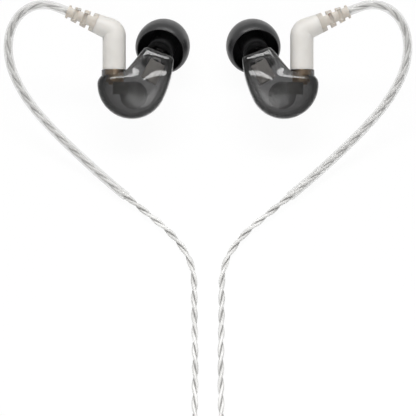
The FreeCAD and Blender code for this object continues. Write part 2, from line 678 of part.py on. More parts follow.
def tube(edges, radius, hole, name):
    """Tube of the given radius along edges, compared with its section times its length."""
    path = Part.Wire(edges)
    start = edges[0].Vertexes[0].Point
    direction = edges[0].tangentAt(edges[0].FirstParameter)
    ring = Part.Face(Part.Wire([Part.Circle(start, direction, radius).toShape()]))
    section = math.pi * radius ** 2
    if hole:
        ring = ring.cut(Part.Face(Part.Wire([Part.Circle(start, direction, hole).toShape()])))
        ring = ring.Faces[0]
        section -= math.pi * hole ** 2
    solid = path.makePipe(ring)
    expected = section * path.Length
    print(name, "length %.1f" % path.Length, "volume ratio %.4f" % (solid.Volume / expected))
    if abs(solid.Volume / expected - 1) > 0.01:
        raise RuntimeError("%s has the wrong volume" % name)
    return solid


def makeBranch():
    reliefEnd = reliefFrame.multVec(Vector(0, 0, value(s.relief_length)))
    along = reliefFrame.Rotation.multVec(Vector(0, 0, 1))
    coilEntry = Vector(-value(s.cord_side), value(s.cord_coil_y), value(layerHeight(s.cord_radius, 0)))
    points = [reliefEnd, reliefEnd + along * value(s.first_run)]
    points += [Vector(*point) for point in hookRoute]
    points.append(coilEntry)
    edges = routeEdges(points, "branch cord")
    middle = (points[sleeveRuns] + points[sleeveRuns + 1]) * 0.5
    sleeveEdges = edges[:2 * sleeveRuns]
    sleeveEdges.append(Part.LineSegment(sleeveEdges[-1].Vertexes[-1].Point, middle).toShape())
    hole = value(s.cord_radius + s.bond_gap)
    keep("left_ear_hook", shaped("ear_hook", tube(sleeveEdges, value(sleeveRadius), hole, "ear hook")))
    keep("left_cord", shaped("cord", tube(edges, value(s.cord_radius), 0, "branch cord")))
    coilExit = Vector(-value(s.cord_side), value(s.cord_coil_y), value(layerHeight(s.cord_radius, 1)))
    splitterFace = Vector(-value(s.cord_side), value(s.splitter_y), coilExit.z)
    tail = tube([Part.LineSegment(coilExit, splitterFace).toShape()], value(s.cord_radius), 0, "branch tail")
    keep("left_cord_tail", shaped("cord_tail", tail))


def layerHeight(radius, layer):
    """Height of a coil layer's centre line above the surface."""
    return radius + s.turn_gap / 2 + (radius * 2 + s.turn_gap) * layer


def coilBody(name, radius, outerTurn, columns, side, y):
    """Outer shape of a coil whose outermost turn is tangent to the line X = side, going towards -Y."""
    inner = outerTurn - (radius * 2 + s.turn_gap) * (columns - 1) - radius
    outer = outerTurn + radius
    top = layerHeight(radius, s.coil_layers - 1) + radius
    edge = s.coil_round
    placement = FreeCAD.Placement(
        Vector(-value(side) - value(outerTurn), value(y), 0), FreeCAD.Rotation())
    return turned(name, placement, [
        (inner + edge, 0), (outer - edge, 0, edge), (outer, edge), (outer, top - edge, edge),
        (outer - edge, top), (inner + edge, top, edge), (inner, top - edge), (inner, edge, edge)])


def makeCables():
    keep("left_cord_coil", coilBody(
        "cord_coil", s.cord_radius, s.cord_coil_radius, s.cord_coil_columns, s.cord_side, s.cord_coil_y))
    keep("main_coil", coilBody(
        "main_coil", s.main_radius, s.main_coil_radius, s.main_coil_columns, s.cord_side * 0, s.main_coil_y))
    lowLayer = value(layerHeight(s.main_radius, 0))
    highLayer = value(layerHeight(s.main_radius, 1))
    splitterEnd = value(s.splitter_y) - value(s.splitter_length)
    coilY = value(s.main_coil_y)
    reach = splitterEnd - coilY
    exitHeight = value(layerHeight(s.cord_radius, 1))
    level = value(s.level_share)
    lead = [Vector(0, splitterEnd, exitHeight), Vector(0, splitterEnd - reach * level, exitHeight),
            Vector(0, coilY + reach * level, lowLayer), Vector(0, coilY, lowLayer)]
    keep("main_cord", shaped("main_cord", tube(
        routeEdges(lead, "main cord"), value(s.main_radius), 0, "main cord")))
    reach = coilY - value(s.plug_y)
    plugLevel = value(plugHeight)
    tail = [Vector(0, coilY, highLayer), Vector(0, coilY - reach * level, highLayer),
            Vector(0, coilY - reach * (1 - level), plugLevel), Vector(0, value(s.plug_y), plugLevel)]
    keep("main_tail", shaped("main_tail", tube(
        routeEdges(tail, "main tail"), value(s.main_radius), 0, "main tail")))


def makeYokes():
    """Slider and splitter of the two branch cords."""
    height = value(layerHeight(s.cord_radius, 1))
    centre = FreeCAD.Placement(
        Vector(0, value(s.slider_y) - value(s.slider_length) / 2, height), FreeCAD.Rotation())
    slider = plate("slider", centre, rectangle(sliderWidth, s.slider_length), s.slider_thickness)
    roundEdges(slider, edgesAlong(slider, Vector(0, 1, 0)), s.slider_round)
    hole = s.cord_radius + s.running_gap
    for side in (1, -1):
        cutThrough(slider, drawCircle(slider, "XZ_Plane", s.cord_side * side, hole), s.slider_length * 2)
    keep("slider", slider)
    half = sliderWidth / 2
    endHalf = s.main_radius + s.splitter_wall
    splitter = plate("splitter", FreeCAD.Placement(
        Vector(0, value(s.splitter_y), height), FreeCAD.Rotation()), [
        (-endHalf, -s.splitter_length), (endHalf, -s.splitter_length), (half, -s.splitter_straight),
        (half, 0), (-half, 0), (-half, -s.splitter_straight)], s.slider_thickness)
    keep("splitter", splitter)


# ---- stereo plug ----

def makePlug():
    boot = s.boot_length
    face = boot + s.housing_length
    seat = face - s.plug_depth
    keep("plug_boot", turned("plug_boot", plugFrame, [
        (0, 0), (s.main_radius + s.boot_wall, 0), (s.boot_end_radius, boot), (0, boot)]))
    shank = s.plug_radius - s.plug_shoulder
    plugSeat = shank + s.bond_gap
    keep("plug_housing", turned("plug_housing", plugFrame, [
        (0, boot), (s.housing_radius - s.housing_chamfer, boot),
        (s.housing_radius, boot + s.housing_chamfer), (s.housing_radius, face - s.housing_chamfer),
        (s.housing_radius - s.housing_chamfer, face), (plugSeat, face), (plugSeat, seat), (0, seat)]))
    groundEnd = face + s.plug_ground
    ringStart = groundEnd + s.plug_band
    ringEnd = ringStart + s.plug_ring
    tipStart = ringEnd + s.plug_band
    coreBore = s.plug_stem + s.bond_gap
    contactBore = s.plug_core + s.bond_gap
    keep("plug_sleeve_contact", turned("plug_sleeve_contact", plugFrame, [
        (contactBore, seat), (shank, seat), (shank, face), (s.plug_radius, face),
        (s.plug_radius, groundEnd), (contactBore, groundEnd)]))
    keep("plug_ring_contact", turned("plug_ring_contact", plugFrame, bore(
        contactBore, s.plug_radius, ringStart, ringEnd)))
    keep("plug_insulator", turned("plug_insulator", plugFrame, [
        (coreBore, seat), (s.plug_core, seat), (s.plug_core, groundEnd), (s.plug_radius, groundEnd),
        (s.plug_radius, ringStart), (s.plug_core, ringStart), (s.plug_core, ringEnd),
        (s.plug_radius, ringEnd), (s.plug_radius, tipStart), (coreBore, tipStart)]))
    end = face + s.plug_reach
    left = s.plug_reach - s.plug_ground - s.plug_band * 2 - s.plug_ring
    keep("plug_tip_contact", turned("plug_tip_contact", plugFrame, [
        (0, seat), (s.plug_stem, seat), (s.plug_stem, tipStart), (s.plug_radius, tipStart),
        (s.plug_radius, tipStart + left * s.tip_barrel_share),
        (s.tip_neck_radius, tipStart + left * s.tip_neck_share),
        (s.tip_bulb_radius, tipStart + left * s.tip_bulb_share), (s.tip_point_radius, end), (0, end)]))


def mirrorLeft():
    """Every left sub-part again on the right, across the plane X = 0."""
    for label in [label for label in nodes if label.startswith("left_")]:
        mirrored = document.addObject("Part::Mirroring", "mirrored")
        mirrored.Source = nodes[label]
        mirrored.Normal = Vector(1, 0, 0)
        mirrored.Base = Vector(0, 0, 0)
        keep("right_" + label[5:], mirrored)


makeShells()
makeNozzle()
makeEartip()
makeDriver()
makeArmature()
makeConnector()
makeElbow()
makeRelief()
makeBranch()
makeCables()
makeYokes()
makePlug()
mirrorLeft()
document.recompute()

for thing in document.Objects:
    if "Invalid" in thing.State or "Error" in thing.State:
        raise RuntimeError("%s is %s" % (thing.Label, thing.State))
for label, piece in nodes.items():
    if piece.Shape.isNull() or not piece.Shape.isValid():
        raise RuntimeError("%s has no valid shape" % label)

os.makedirs("parts", exist_ok=True)
for label, piece in nodes.items():
    piece.Shape.exportStep("parts/%s.step" % label)
print(len(nodes), "sub-parts written")
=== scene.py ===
import json
import math
import bmesh
import bpy
import numpy as np
from mathutils import Matrix, Vector


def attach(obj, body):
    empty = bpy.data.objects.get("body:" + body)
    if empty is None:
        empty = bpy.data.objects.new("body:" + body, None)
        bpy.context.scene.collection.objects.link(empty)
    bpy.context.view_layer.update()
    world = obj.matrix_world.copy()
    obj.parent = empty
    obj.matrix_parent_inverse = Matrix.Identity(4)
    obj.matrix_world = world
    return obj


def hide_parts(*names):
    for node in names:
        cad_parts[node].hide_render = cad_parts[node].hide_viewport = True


# A pair of in-ear monitors lying face up, with their cable.
# Places are in metres. The sizes in the dictionaries are millimetres, and mm turns them into metres.
# Every left piece is modelled, and its mirror image across X = 0 is the right one.

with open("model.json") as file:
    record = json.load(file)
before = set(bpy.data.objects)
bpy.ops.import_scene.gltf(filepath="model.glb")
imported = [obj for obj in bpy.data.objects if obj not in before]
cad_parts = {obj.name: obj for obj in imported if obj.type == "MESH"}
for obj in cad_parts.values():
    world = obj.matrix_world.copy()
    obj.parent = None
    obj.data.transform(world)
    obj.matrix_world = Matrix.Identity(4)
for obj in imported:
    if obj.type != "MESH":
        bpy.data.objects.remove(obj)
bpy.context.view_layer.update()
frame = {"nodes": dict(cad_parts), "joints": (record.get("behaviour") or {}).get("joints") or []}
nodes = frame["nodes"]
joints = {joint["name"]: joint for joint in frame["joints"]}
mm = 0.001
print("frame loaded")


# places

def unit(vector):
    vector = np.asarray(vector, float)
    return vector / np.linalg.norm(vector)


def axesAt(origin, along, across):
    # matrix with Z along one direction and X as near as can be to another
    z = unit(along)
    x = unit(np.asarray(across, float) - z * np.dot(across, z))
    matrix = np.eye(4)
    matrix[:3, 0], matrix[:3, 1], matrix[:3, 2] = x, np.cross(z, x), z
    matrix[:3, 3] = origin
    return matrix


def placed(matrix, points):
    # points in millimetres in a piece's own axes, as metres in the frame
    points = np.asarray(points, float) * mm
    return points @ matrix[:3, :3].T + matrix[:3, 3]


neckPlace = np.array(joints["left_swivel"]["pos_m"])
neckAxis = unit(joints["left_swivel"]["axis"])
faceAxis = np.cross((1, 0, 0), neckAxis)
nozzleAxis = unit(joints["left_tip_pull"]["axis"])
nozzleRim = (10.6, 4.85, -7.5)                        # in the earpiece's own axes
earpiece = axesAt(neckPlace, faceAxis, (1, 0, 0))     # Y up the neck, Z out of the face
neck = axesAt(neckPlace, neckAxis, (1, 0, 0))         # Z up the neck
nozzleFrame = axesAt(placed(earpiece, nozzleRim), nozzleAxis, (1, 0, 0))


# meshes

def gridFaces(rows, columns, wrapRows=False):
    # quads between neighbouring points of a grid whose columns go round, and whose rows may
    i = np.arange(rows if wrapRows else rows - 1)[:, None]
    j = np.arange(columns)[None, :]
    nextI, nextJ = (i + 1) % rows, (j + 1) % columns
    corners = [i * columns + j, i * columns + nextJ, nextI * columns + nextJ, nextI * columns + j]
    return np.stack([np.broadcast_to(corner, (i.size, j.size)) for corner in corners], -1).reshape(-1, 4)


def meshFrom(points, faces, uvs=None):
    # mesh from arrays of points and quads, with one uv pair for each corner of each quad
    points = np.asarray(points, float).reshape(-1, 3)
    mesh = bpy.data.meshes.new("surface")
    mesh.from_pydata(points, [], faces.tolist())
    if uvs is not None:
        layer = mesh.uv_layers.new(name="along")
        layer.data.foreach_set("uv", np.asarray(uvs, np.float32).ravel())
    return mesh


def tidied(mesh, sharp=35, merge=1e-7):
    # points in one place are merged, which closes poles; then normals outward and smooth shading
    work = bmesh.new()
    work.from_mesh(mesh)
    bmesh.ops.remove_doubles(work, verts=work.verts, dist=merge)
    bmesh.ops.dissolve_degenerate(work, edges=work.edges, dist=merge / 2)
    bmesh.ops.recalc_face_normals(work, faces=work.faces)
    work.to_mesh(mesh)
    work.free()
    mesh.shade_smooth()
    mesh.set_sharp_from_angle(angle=math.radians(sharp))
    return mesh


def mirrored(mesh):
    # mirror image across X = 0, turned right side out again
    copy = mesh.copy()
    work = bmesh.new()
    work.from_mesh(mesh)
    work.transform(Matrix.Scale(-1, 4, Vector((1, 0, 0))))
    bmesh.ops.reverse_faces(work, faces=work.faces)
    work.to_mesh(copy)
    work.free()
    return copy


def arcTo(points, end, bend, steps):
    # adds the arc from the last point to end; a positive bend radius turns left, a negative one right
    start, end = np.array(points[-1], float), np.array(end, float)
    chord = end - start
    half = np.linalg.norm(chord) / 2
    rise = math.sqrt(max(bend * bend - half * half, 0))
    left = np.array((-chord[1], chord[0])) / (2 * half)
    centre = (start + end) / 2 + left * (rise if bend > 0 else -rise)
    first = math.atan2(*(start - centre)[::-1])
    last = math.atan2(*(end - centre)[::-1])
    if bend > 0 and last < first:
        last += 2 * math.pi
    if bend < 0 and last > first:
        last -= 2 * math.pi
    angles = np.linspace(first, last, steps + 1)[1:]
    return points + [tuple(centre + abs(bend) * np.array((math.cos(a), math.sin(a)))) for a in angles]


def turnedMesh(matrix, profile, around=72, sharp=35):
    # profile of (radius, height) turned about Z: x = r cos a, y = r sin a, z = height
    profile = np.asarray(profile, float)
    angle = np.linspace(0, 2 * math.pi, around, endpoint=False)
    radius, height = profile[:, 0, None], profile[:, 1, None]
    grid = np.stack([radius * np.cos(angle), radius * np.sin(angle), height + 0 * angle], -1)
    closed = max(profile[0, 0], profile[-1, 0]) > 1e-9     # a profile from axis to axis has no last wall
    return tidied(meshFrom(placed(matrix, grid), gridFaces(len(profile), around, closed)), sharp)


def combined(mesh, tool, operation):
    # the mesh with the tool's shape joined to it, cut from it or shared with it
    base, other = bpy.data.objects.new("base", mesh), bpy.data.objects.new("tool", tool)
    for thing in (base, other):
        bpy.context.scene.collection.objects.link(thing)
    modifier = base.modifiers.new("shape", "BOOLEAN")
    modifier.operation, modifier.object, modifier.solver = operation, other, "MANIFOLD"
    result = bpy.data.meshes.new_from_object(base.evaluated_get(bpy.context.evaluated_depsgraph_get()))
    for thing in (base, other):
        bpy.data.objects.remove(thing)
    return result


def addPiece(name, mesh, body, material, replaces=()):
    piece = bpy.data.objects.new(name, mesh)
    bpy.context.scene.collection.objects.link(piece)
    mesh.materials.clear()
    mesh.materials.append(material)
    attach(piece, body)
    if replaces:
        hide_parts(*replaces)
    return piece


def addPair(name, mesh, body, material, replaces=()):
    # the left piece and its mirror image; names, bodies and nodes are given without their side
    pair = []
    for side, shape in (("left", mesh), ("right", mirrored(mesh))):
        rider = "cable" if body == "cable" else side + "_" + body
        pair.append(addPiece(side + "_" + name, shape, rider, material,
                             [side + "_" + node for node in replaces]))
    return pair


def bevelled(pieces, width, angle=40):
    for piece in pieces:
        modifier = piece.modifiers.new("edges", "BEVEL")
        modifier.width, modifier.segments = width * mm, 2
        modifier.limit_method, modifier.angle_limit = "ANGLE", math.radians(angle)
        modifier.harden_normals = False


def mergedCopy(node, sharp=30):
    # a CAD node's triangles as one connected mesh
    return tidied(nodes[node].data.copy(), sharp, 2e-7)


# camera

camera = {"reach": 520, "below": 32.05, "span": 96.5, "sensor": 36}


def makeCamera():
    # looks straight at the earpieces' faces, from above the middle of the cord's loop
    target = np.array((0, *neckPlace[1:])) - neckAxis * camera["below"] * mm
    data = bpy.data.cameras.new("camera")
    data.sensor_width = camera["sensor"]
    data.lens = camera["sensor"] * camera["reach"] / camera["span"]
    data.clip_start, data.clip_end = 0.01, 10
    eye = bpy.data.objects.new("camera", data)
    bpy.context.scene.collection.objects.link(eye)
    eye.location = target + faceAxis * camera["reach"] * mm
    eye.rotation_mode = "QUATERNION"
    eye.rotation_quaternion = Vector(-faceAxis).to_track_quat("-Z", "Y")
    bpy.context.scene.camera = eye


makeCamera()
print("camera placed")


# shader groups and materials

def newGroup(name, inputs, outputs):
    tree = bpy.data.node_groups.new(name, "ShaderNodeTree")
    for label, kind, default in inputs:
        socket = tree.interface.new_socket(label, in_out="INPUT", socket_type=kind)
        if default is not None:
            socket.default_value = default
    for label, kind in outputs:
        tree.interface.new_socket(label, in_out="OUTPUT", socket_type=kind)
    return tree, tree.nodes.new("NodeGroupInput"), tree.nodes.new("NodeGroupOutput")


def addNode(tree, kind, **settings):
    node = tree.nodes.new(kind)
    for name, setting in settings.items():
        setattr(node, name, setting)
    return node


def makeGrain():
    # broad clouds of tone, and a fine grain for the bump
    tree, start, end = newGroup(
        "mouldedGrain",
        [("Vector", "NodeSocketVector", None), ("Cloud size", "NodeSocketFloat", 300.0),
         ("Grain size", "NodeSocketFloat", 4000.0)],
        [("Tone", "NodeSocketFloat"), ("Height", "NodeSocketFloat")])
    cloud = addNode(tree, "ShaderNodeTexNoise")
    cloud.inputs["Detail"].default_value = 4
    grain = addNode(tree, "ShaderNodeTexNoise")
    grain.inputs["Detail"].default_value = 3
    grain.inputs["Roughness"].default_value = 0.6
    spread = addNode(tree, "ShaderNodeMapRange")
    spread.inputs["From Min"].default_value, spread.inputs["From Max"].default_value = 0.3, 0.7
    tree.links.new(start.outputs["Vector"], cloud.inputs["Vector"])
    tree.links.new(start.outputs["Vector"], grain.inputs["Vector"])
    tree.links.new(start.outputs["Cloud size"], cloud.inputs["Scale"])
    tree.links.new(start.outputs["Grain size"], grain.inputs["Scale"])
    tree.links.new(cloud.outputs["Fac"], spread.inputs["Value"])
    tree.links.new(spread.outputs["Result"], end.inputs["Tone"])
    tree.links.new(grain.outputs["Fac"], end.inputs["Height"])
    return tree


def makeHairlines():
    # sparse hairline scratches: thin bands where a stretched noise is near its middle
    tree, start, end = newGroup(
        "hairlines",
        [("Vector", "NodeSocketVector", None), ("Density", "NodeSocketFloat", 600.0)],
        [("Mask", "NodeSocketFloat")])
    stretch = addNode(tree, "ShaderNodeMapping")
    stretch.inputs["Rotation"].default_value = (0.3, 0.5, 0.7)
    stretch.inputs["Scale"].default_value = (1.0, 0.08, 0.3)
    noise = addNode(tree, "ShaderNodeTexNoise")
    noise.inputs["Detail"].default_value = 1
    middle = addNode(tree, "ShaderNodeMath", operation="SUBTRACT")
    middle.inputs[1].default_value = 0.5
    away = addNode(tree, "ShaderNodeMath", operation="ABSOLUTE")
    band = addNode(tree, "ShaderNodeMapRange")
    band.inputs["From Min"].default_value, band.inputs["From Max"].default_value = 0.012, 0.0
    tree.links.new(start.outputs["Vector"], stretch.inputs["Vector"])
    tree.links.new(stretch.outputs["Vector"], noise.inputs["Vector"])
    tree.links.new(start.outputs["Density"], noise.inputs["Scale"])
    tree.links.new(noise.outputs["Fac"], middle.inputs[0])
    tree.links.new(middle.outputs["Value"], away.inputs[0])
    tree.links.new(away.outputs["Value"], band.inputs["Value"])
    tree.links.new(band.outputs["Result"], end.inputs["Mask"])
    return tree


grainGroup = makeGrain()
hairlineGroup = makeHairlines()


def makeFinish(name, light, dark, rough, cloud=300, grain=4000, bump=0.05, depth=0.02, scratch=0.0,
               **sockets):
    # Principled surface whose colour runs between two tones, with uneven gloss and a fine bump
    material = bpy.data.materials.new(name)
    material.use_nodes = True
    tree = material.node_tree
    shader = tree.nodes["Principled BSDF"]
    for label, setting in sockets.items():
        shader.inputs[label.replace("_", " ")].default_value = setting
    place = addNode(tree, "ShaderNodeTexCoord")
    surface = addNode(tree, "ShaderNodeGroup", node_tree=grainGroup)
    surface.inputs["Cloud size"].default_value = cloud
    surface.inputs["Grain size"].default_value = grain
    tone = addNode(tree, "ShaderNodeMix", data_type="RGBA")
    tone.inputs["A"].default_value, tone.inputs["B"].default_value = (*light, 1), (*dark, 1)
    gloss = addNode(tree, "ShaderNodeMapRange")
    gloss.inputs["To Min"].default_value, gloss.inputs["To Max"].default_value = rough
    relief = addNode(tree, "ShaderNodeBump")
    relief.inputs["Strength"].default_value, relief.inputs["Distance"].default_value = bump, depth * mm
    tree.links.new(place.outputs["Object"], surface.inputs["Vector"])
    tree.links.new(surface.outputs["Tone"], tone.inputs["Factor"])
    tree.links.new(tone.outputs["Result"], shader.inputs["Base Color"])
    tree.links.new(surface.outputs["Tone"], gloss.inputs["Value"])
    tree.links.new(surface.outputs["Height"], relief.inputs["Height"])
    tree.links.new(relief.outputs["Normal"], shader.inputs["Normal"])
    if not scratch:
        tree.links.new(gloss.outputs["Result"], shader.inputs["Roughness"])
        return material
    lines = addNode(tree, "ShaderNodeGroup", node_tree=hairlineGroup)
    worn = addNode(tree, "ShaderNodeMath", operation="MULTIPLY_ADD")
    worn.inputs[1].default_value = scratch
    tree.links.new(place.outputs["Object"], lines.inputs["Vector"])
    tree.links.new(lines.outputs["Mask"], worn.inputs[0])
    tree.links.new(gloss.outputs["Result"], worn.inputs[2])
    tree.links.new(worn.outputs["Value"], shader.inputs["Roughness"])
    return material


def makeStrandFinish():
    # bands along u that wander a little, partly the tone of fine wire strands under a clear jacket and
    # partly painted highlight lines; and painted shade where strands meet
    material = makeFinish("silverStrand", (0.76, 0.755, 0.74), (0.30, 0.295, 0.285), (0.4, 0.5),
                          cloud=900, grain=500, bump=0.01, Coat_Weight=0.2, Coat_Roughness=0.3)
    tree = material.node_tree
    place = addNode(tree, "ShaderNodeUVMap", uv_map="along")
    stretch = addNode(tree, "ShaderNodeMapping")
    stretch.inputs["Scale"].default_value = wireBandsAndShade["stretch"]
    # the bands are partly fine-wire tone and partly painted highlight lines along each strand
    bands = addNode(tree, "ShaderNodeTexNoise", noise_dimensions="2D")
    bands.inputs["Scale"].default_value = 1.0
    bands.inputs["Detail"].default_value = 1.5
    spread = addNode(tree, "ShaderNodeMapRange")
    spread.inputs["From Min"].default_value, spread.inputs["From Max"].default_value = wireBandsAndShade["range"]
    tree.links.new(place.outputs["UV"], stretch.inputs["Vector"])
    tree.links.new(stretch.outputs["Vector"], bands.inputs["Vector"])
    tree.links.new(bands.outputs["Fac"], spread.inputs["Value"])
    # painted shade: the strand turns darker on its side that faces the cord's middle, where the strands meet
    inward = addNode(tree, "ShaderNodeAttribute", attribute_name="groove")
    groove = addNode(tree, "ShaderNodeMapRange")
    groove.inputs["From Min"].default_value, groove.inputs["From Max"].default_value = wireBandsAndShade["groove"]
    darker = addNode(tree, "ShaderNodeMath", operation="MULTIPLY_ADD")
    darker.inputs[1].default_value = wireBandsAndShade["share"]
    tone = next(node for node in tree.nodes if node.type == "MIX")
    tree.links.new(inward.outputs["Fac"], groove.inputs["Value"])
    tree.links.new(spread.outputs["Result"], darker.inputs[0])
    tree.links.new(groove.outputs["Result"], darker.inputs[2])
    tree.links.new(darker.outputs["Value"], tone.inputs["Factor"])
    return material


def makeSleeveFinish():
    # clear tube as a thin veil, which thickens where it is seen edge on
    material = makeFinish("clearSleeve", (0.78, 0.775, 0.76), (0.72, 0.715, 0.705), (0.12, 0.16),
                          grain=300, bump=0.01)
    tree = material.node_tree
    facing = addNode(tree, "ShaderNodeLayerWeight")
    facing.inputs["Blend"].default_value = veilLevels["blend"]
    veil = addNode(tree, "ShaderNodeMapRange")
    veil.inputs["To Min"].default_value, veil.inputs["To Max"].default_value = veilLevels["range"]
    tree.links.new(facing.outputs["Facing"], veil.inputs["Value"])
    tree.links.new(veil.outputs["Result"], tree.nodes["Principled BSDF"].inputs["Alpha"])
    return material


def makeSmokedFinish():
    # clear plastic whose depth is tinted, so that it darkens where it is thick
    material = makeFinish("smokedPlastic", (0.86, 0.86, 0.87), (0.80, 0.80, 0.81), (0.09, 0.13),
                          cloud=120, bump=0.02, scratch=0.15, Transmission_Weight=1.0, IOR=1.5)
    tree = material.node_tree
    tint = addNode(tree, "ShaderNodeVolumeAbsorption")
    tint.inputs["Color"].default_value = (*smoke["tint"], 1)
    tint.inputs["Density"].default_value = smoke["density"]
    tree.links.new(tint.outputs["Volume"], tree.nodes["Material Output"].inputs["Volume"])
    return material


# stretch is the bands per metre along and round a strand, and share is how much they darken it; the bands
# are partly fine-wire tone and partly painted highlight lines;
# groove is 1 on the side that faces the cord's middle, and there painted shade darkens the strand over the
# given range
wireBandsAndShade = {"stretch": (150, 1300, 1), "range": (0.34, 0.62), "share": 0.35, "groove": (-0.1, 0.8)}
veilLevels = {"blend": 0.3, "range": (0.14, 0.6)}
smoke = {"tint": (0.30, 0.295, 0.29), "density": 1600}

finishes = {
    "smoked": makeSmokedFinish(),
    "milky": makeFinish("milkyPlastic", (0.73, 0.71, 0.675), (0.68, 0.66, 0.625), (0.45, 0.52),
                        bump=0.08, Subsurface_Weight=0.2, Subsurface_Radius=(0.0009, 0.0008, 0.0007),
                        Subsurface_Scale=1.0, IOR=1.45),
    "rubber": makeFinish("warmRubber", (0.60, 0.56, 0.505), (0.52, 0.48, 0.43), (0.42, 0.52),
                         cloud=700, bump=0.1, Subsurface_Weight=0.5, IOR=1.45,
                         Subsurface_Radius=(0.0012, 0.001, 0.0008), Subsurface_Scale=1.0),
    "silicone": makeFinish("darkSilicone", (0.025, 0.025, 0.026), (0.018, 0.018, 0.0185), (0.30, 0.38),
                           bump=0.12, IOR=1.45),
    "sleeve": makeSleeveFinish(),
    "strand": makeStrandFinish(),
    "blackPlastic": makeFinish("blackPlastic", (0.022, 0.022, 0.023), (0.015, 0.015, 0.016), (0.4, 0.55),
                               bump=0.15),
    "steel": makeFinish("satinSteel", (0.62, 0.61, 0.59), (0.50, 0.49, 0.47), (0.22, 0.34),
                        bump=0.05, scratch=0.2, Metallic=1.0),
    "brass": makeFinish("warmBrass", (0.86, 0.64, 0.42), (0.70, 0.50, 0.30), (0.38, 0.5),
                        bump=0.05, scratch=0.2, Metallic=1.0),
    "gold": makeFinish("goldPlate", (0.92, 0.70, 0.36), (0.82, 0.60, 0.28), (0.14, 0.24),
                       bump=0.03, scratch=0.15, Metallic=1.0),
    "copper": makeFinish("enamelCopper", (0.66, 0.30, 0.15), (0.50, 0.20, 0.10), (0.25, 0.4),
                         bump=0.1, Metallic=0.9, Coat_Weight=0.5),
    "board": makeFinish("crossoverBoard", (0.16, 0.15, 0.13), (0.10, 0.10, 0.085), (0.35, 0.5),
                        bump=0.1),
    "greyPlastic": makeFinish("greyPlastic", (0.19, 0.185, 0.18), (0.14, 0.135, 0.13), (0.4, 0.55),
                              bump=0.15),
    "darkSteel": makeFinish("darkSteel", (0.20, 0.197, 0.19), (0.15, 0.147, 0.14), (0.45, 0.6),
                            bump=0.05, scratch=0.1, Metallic=0.3),
    "can": makeFinish("nickelCan", (0.80, 0.77, 0.72), (0.66, 0.62, 0.56), (0.35, 0.5),
                      bump=0.05, scratch=0.2, Metallic=0.35),
    "film": makeFinish("diaphragmFilm", (0.07, 0.068, 0.066), (0.05, 0.049, 0.048), (0.55, 0.7),
                       bump=0.05),
}
print("finishes mixed")


# cords

strands = {"radius": 0.4, "offset": 0.33, "pitch": 8.7, "count": 2, "phase": 0.2, "sides": 12,
           "step": 0.3}
mainStrands = {"radius": 0.455, "offset": 0.645, "pitch": 13.0, "count": 4, "phase": 0.0, "sides": 8,
               "step": 0.5}
sleeve = {"radius": 1.065, "bore": 0.755, "sides": 32, "step": 0.35, "lastRun": 11}
relief = {"length": 7.25, "firstRun": 2.5, "edge": 0.14}
elbow = {"radius": 2.7, "leg": 7.08, "bend": 2.95, "turn": 67.4, "arm": 2.5, "endRadius": 2.3,
         "outerRound": 4.3, "innerRound": 1.0, "taper": 4.5, "seatRadius": 1.71, "seatDepth": 1.6,
         "lip": 0.35, "groove": 0.07, "clear": 0.02, "slimming": 0.6, "around": 72}
cordCoil = {"side": 3.0, "y": -101.0, "radius": 9.4, "columns": 2, "low": 0.75, "spacing": 1.5,
            "points": 16, "change": 0.18, "dip": 0.45}
mainCoil = {"side": 0.0, "y": -141.0, "radius": 16.6, "columns": 5, "low": 1.125, "spacing": 2.25,
            "points": 20, "change": 0.14, "dip": 0.65}
splitter = {"y": -119.5, "length": 11.0, "height": 2.25}
plug = {"y": -151.5, "height": 4.0}
levelShare = 0.25     # of the main cord's short ends lies level before it climbs

# the left cord's route from the strain relief's second point on, over the ear hook to its coil
hookRoute = [
    (-37.9, 10.0, 19.6), (-41.4, 9.5, 19.2), (-44.3, 7.5, 18.1), (-46.1, 4.5, 16.2),
    (-46.6, 0.9, 14.1), (-45.5, -3.9, 11.4), (-41.8, -9.7, 8.1), (-35.9, -15.7, 5.1),
    (-29.3, -21.7, 2.9), (-22.4, -28.0, 1.6), (-15.1, -34.5, 1.2), (-7.6, -41.2, 0.8),
    (-3.1, -49.0, 0.76), (-3.1, -59.8, 0.75), (-2.8, -73.2, 0.76), (-2.9, -87.3, 0.75)]

turn = math.radians(elbow["turn"])
reliefAxisLocal = np.array((-math.sin(turn), math.cos(turn), 0))
bendCentre = np.array((-elbow["bend"], elbow["leg"], 0))
elbowEnd = bendCentre + np.array((math.cos(turn), math.sin(turn), 0)) * elbow["bend"] \
    + reliefAxisLocal * elbow["arm"]
reliefAxis = earpiece[:3, :3] @ reliefAxisLocal
reliefEnd = placed(earpiece, elbowEnd + reliefAxisLocal * relief["length"])


def coilPoints(coil):
    # lanes go inward on the floor, climb at the middle, and come outward on top; each turn is a circle
    # x = c + r cos a, y = c - r sin a, and near its end r and z slide to the next lane's
    radii = [coil["radius"] - coil["spacing"] * lane for lane in range(coil["columns"])]
    radii = np.array(radii + radii[::-1])
    heights = np.repeat([coil["low"], coil["low"] + coil["spacing"]], coil["columns"])
    turns = np.arange(1, len(radii) * coil["points"]) / coil["points"]
    lane = turns.astype(int)
    following = np.minimum(lane + 1, len(radii) - 1)
    slide = np.clip((turns - lane - 1 + coil["change"]) / coil["change"], 0, 1)
    slide = slide * slide * (3 - 2 * slide)
    climbing = heights[following] > heights[lane]
    radius = radii[lane] * (1 - slide) + radii[following] * slide \
        - climbing * coil["dip"] * np.sin(math.pi * slide)
    height = heights[lane] * (1 - slide) + heights[following] * slide
    # a quadratic spline cuts inside its points, so they stand that much further out
    wide = radius / (0.75 + 0.25 * math.cos(2 * math.pi / coil["points"]))
    angle = turns * 2 * math.pi
    across = -coil["side"] - coil["radius"] + wide * np.cos(angle)
    start = (-coil["side"], coil["y"], heights[0])
    end = (-coil["side"], coil["y"], heights[-1])
    return [start, *np.stack([across, coil["y"] - wide * np.sin(angle), height], -1), end]


